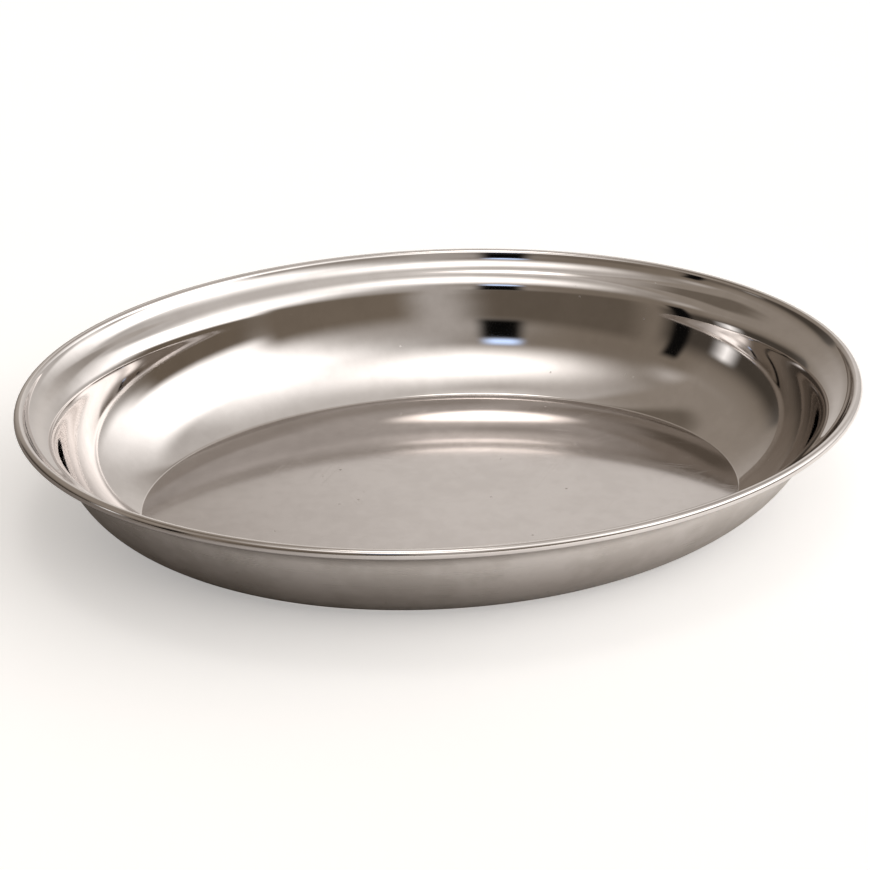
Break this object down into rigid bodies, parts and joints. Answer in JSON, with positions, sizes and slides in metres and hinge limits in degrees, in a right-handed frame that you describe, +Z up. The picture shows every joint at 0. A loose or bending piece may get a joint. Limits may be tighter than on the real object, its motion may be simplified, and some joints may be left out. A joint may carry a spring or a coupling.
{
  "type": "oval serving dish",
  "caption": "Oval pressed-steel serving dish with a deep rounded bowl, a flat floor, a stepped ledge below the edge and a wire-filled curled edge.",
  "frame": {"origin": "centre of the flat base, on the face the dish stands on", "axes": "+X along the long axis of the oval, +Y along the short axis, +Z up out of the bowl"},
  "size_m": [0.3, 0.218, 0.0466],
  "materials": {
    "dish_steel": "stainless steel, mirror polished inside, satin outside",
    "wire_steel": "drawn stainless wire, unpolished"
  },
  "bodies": {
    "root": {"dish_body": "dish_steel", "rim_wire": "wire_steel"}
  },
  "joints": []
}
